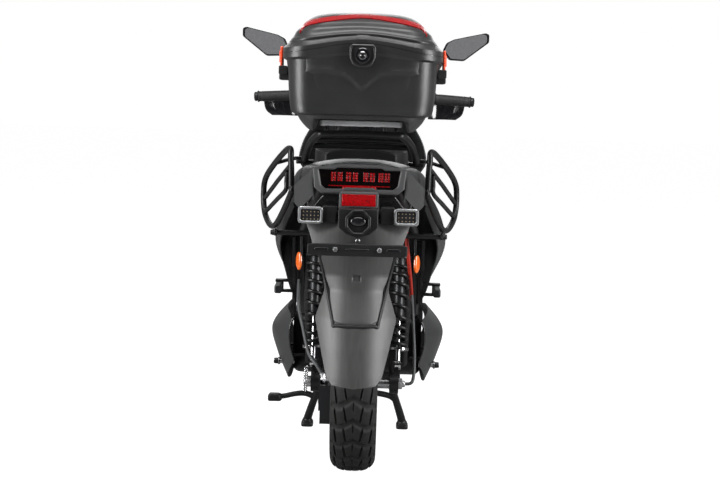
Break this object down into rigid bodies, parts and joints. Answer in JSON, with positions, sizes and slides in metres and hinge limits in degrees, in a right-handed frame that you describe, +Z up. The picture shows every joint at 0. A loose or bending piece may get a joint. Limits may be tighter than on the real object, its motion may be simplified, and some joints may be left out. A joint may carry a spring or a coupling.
{
  "type": "moped scooter",
  "caption": "Electric moped scooter on its centre stand, with top case, rear rack, side guard loops, twin rear shocks, telescopic fork, hinged seat and mirrors.",
  "frame": {"origin": "on the ground, midway between the rearmost and foremost points, on the centre plane", "axes": "+Z up, +Y forward towards the headlight, +X to the right side of the rider"},
  "size_m": [0.804, 1.9735, 1.256],
  "materials": {
    "battery_case": "anodised",
    "black_plastic": "fine grain",
    "black_steel": "satin powder coat",
    "bright_alloy": "satin",
    "cable_rubber": "smooth sheath",
    "chrome": "polished",
    "clear_lens": "clear gloss lens",
    "dark_alloy": "painted cast alloy",
    "gloss_black": "smooth gloss",
    "graphite_plastic": "fine leather-grain texture",
    "grip_rubber": "ribbed",
    "mirror_shell": "satin",
    "orange_plastic": "satin",
    "red_lens": "clear gloss lens",
    "seat_vinyl": "grained vinyl over foam",
    "smoked_screen": "smoked",
    "spring_steel": "gloss coat",
    "steel": "brushed",
    "tyre_rubber": "moulded tread"
  },
  "bodies": {
    "frame": {"main_frame": "black_steel", "battery_pack": "battery_case", "motor_controller": "bright_alloy", "floor_board": "black_plastic", "leg_shield": "black_plastic", "front_fairing": "graphite_plastic", "headlight": "clear_lens", "windscreen": "smoked_screen", "side_covers": "graphite_plastic", "belly_panels": "graphite_plastic", "tail_fairing": "graphite_plastic", "tail_light": "red_lens", "rear_mudguard": "graphite_plastic", "plate_bracket": "black_plastic", "plate_lamp": "black_plastic", "reflectors": "red_lens", "rear_signals": "clear_lens", "rear_rack": "black_steel", "rack_plate": "bright_alloy", "side_guards": "black_steel", "guard_crossbar": "black_steel", "peg_brackets": "black_steel", "case_base": "graphite_plastic"},
    "seat": {"seat_base": "black_plastic", "seat_cushion": "seat_vinyl"},
    "lid": {"case_lid": "graphite_plastic", "lid_strip": "red_lens"},
    "lock": {"case_lock": "chrome"},
    "left_latch": {"latch_left": "orange_plastic"},
    "right_latch": {"latch_right": "orange_plastic"},
    "rear_arm": {"swingarm": "black_steel", "rear_axle": "steel", "rear_caliper": "dark_alloy", "cables": "cable_rubber"},
    "rear_wheel": {"rear_tyre": "tyre_rubber", "rear_hub": "dark_alloy", "rear_disc": "steel"},
    "dampers": {"damper_bodies": "dark_alloy", "shock_springs": "spring_steel"},
    "rods": {"damper_rods": "chrome"},
    "steering": {"fork_crown": "dark_alloy", "handlebar": "black_steel", "dash_display": "gloss_black", "hand_guards": "gloss_black", "left_grip": "grip_rubber"},
    "throttle": {"throttle_grip": "grip_rubber"},
    "left_lever": {"lever_left": "black_steel"},
    "right_lever": {"lever_right": "black_steel"},
    "left_mirror": {"mirror_left": "mirror_shell"},
    "right_mirror": {"mirror_right": "mirror_shell"},
    "fork": {"fork_sliders": "dark_alloy", "front_fender": "graphite_plastic"},
    "front_wheel": {"front_tyre": "tyre_rubber", "front_rim": "dark_alloy", "front_disc": "steel"},
    "stand": {"centre_stand": "black_steel", "stand_springs": "chrome"},
    "left_peg": {"peg_left": "dark_alloy"},
    "right_peg": {"peg_right": "dark_alloy"},
    "spindle": {"pedal_spindle": "steel"}
  },
  "joints": [
    {"name": "swingarm_pivot", "type": "hinge", "parent": "frame", "child": "rear_arm", "pos_m": [0, -0.1715, 0.3], "axis": [-1, 0, 0], "range_deg": [0, 8], "stiffness_Nm_per_rad": 1300, "springref_deg": -17.19},
    {"name": "rear_wheel_spin", "type": "hinge", "parent": "rear_arm", "child": "rear_wheel", "pos_m": [0, -0.6115, 0.2365], "axis": [-1, 0, 0], "continuous": true},
    {"name": "damper_swing", "type": "hinge", "parent": "frame", "child": "dampers", "pos_m": [0, -0.5115, 0.6], "axis": [1, 0, 0], "range_deg": [-8, 8]},
    {"name": "damper_stroke", "type": "slide", "parent": "dampers", "child": "rods", "axis": [0, -0.2462, -0.9692], "range_m": [-0.07, 0.005], "deforming": ["shock_springs"]},
    {"name": "steering", "type": "hinge", "parent": "frame", "child": "steering", "pos_m": [0, 0.46498, 0.76578], "axis": [0, -0.4384, 0.8988], "range_deg": [-35, 35]},
    {"name": "fork_travel", "type": "slide", "parent": "steering", "child": "fork", "axis": [0, -0.4384, 0.8988], "range_m": [0, 0.07], "stiffness_N_per_m": 12000, "springref_m": -0.05},
    {"name": "front_wheel_spin", "type": "hinge", "parent": "fork", "child": "front_wheel", "pos_m": [0, 0.7485, 0.2365], "axis": [-1, 0, 0], "continuous": true},
    {"name": "throttle_twist", "type": "hinge", "parent": "steering", "child": "throttle", "pos_m": [0.185, 0.3335, 1.008], "axis": [0.9909, -0.1201, -0.0601], "range_deg": [0, 70], "stiffness_Nm_per_rad": 0.3, "springref_deg": -17.19},
    {"name": "brake_lever_left", "type": "hinge", "parent": "steering", "child": "left_lever", "pos_m": [-0.204, 0.3725, 1.006], "axis": [0, 0, 1], "range_deg": [0, 12], "stiffness_Nm_per_rad": 2, "springref_deg": -8.59},
    {"name": "brake_lever_right", "type": "hinge", "parent": "steering", "child": "right_lever", "pos_m": [0.204, 0.3725, 1.006], "axis": [0, 0, -1], "range_deg": [0, 12], "stiffness_Nm_per_rad": 2, "springref_deg": -8.59},
    {"name": "mirror_tilt_left", "type": "hinge", "parent": "steering", "child": "left_mirror", "pos_m": [-0.262, 0.3385, 1.148], "axis": [1, 0, 0], "range_deg": [-12, 12]},
    {"name": "mirror_tilt_right", "type": "hinge", "parent": "steering", "child": "right_mirror", "pos_m": [0.262, 0.3385, 1.148], "axis": [1, 0, 0], "range_deg": [-12, 12]},
    {"name": "seat_hinge", "type": "hinge", "parent": "frame", "child": "seat", "pos_m": [0, 0.0725, 0.694], "axis": [-1, 0, 0], "range_deg": [0, 62]},
    {"name": "lid_hinge", "type": "hinge", "parent": "frame", "child": "lid", "pos_m": [0, -0.5735, 1.12], "axis": [-1, 0, 0], "range_deg": [0, 70]},
    {"name": "lock_turn", "type": "hinge", "parent": "frame", "child": "lock", "pos_m": [0, -0.9815, 1.104], "axis": [0, 1, 0], "range_deg": [0, 90]},
    {"name": "latch_left_swing", "type": "hinge", "parent": "frame", "child": "left_latch", "pos_m": [-0.206, -0.7725, 1.068], "axis": [0, -1, 0], "range_deg": [0, 60]},
    {"name": "latch_right_swing", "type": "hinge", "parent": "frame", "child": "right_latch", "pos_m": [0.206, -0.7725, 1.068], "axis": [0, 1, 0], "range_deg": [0, 60]},
    {"name": "stand_fold", "type": "hinge", "parent": "frame", "child": "stand", "pos_m": [0, -0.1415, 0.172], "axis": [-1, 0, 0], "range_deg": [0, 88], "deforming": ["stand_springs"]},
    {"name": "peg_left_fold", "type": "hinge", "parent": "frame", "child": "left_peg", "pos_m": [-0.222, -0.3615, 0.465], "axis": [0, 0, -1], "range_deg": [0, 80]},
    {"name": "peg_right_fold", "type": "hinge", "parent": "frame", "child": "right_peg", "pos_m": [0.222, -0.3615, 0.465], "axis": [0, 0, 1], "range_deg": [0, 80]},
    {"name": "pedal_turn", "type": "hinge", "parent": "frame", "child": "spindle", "pos_m": [0, 0.0085, 0.185], "axis": [1, 0, 0], "continuous": true}
  ],
  "couplings": [
    {"joint": "damper_swing", "follows": "swingarm_pivot", "ratio": -0.3405},
    {"joint": "damper_stroke", "follows": "swingarm_pivot", "m_per_rad": -0.40727}
  ]
}
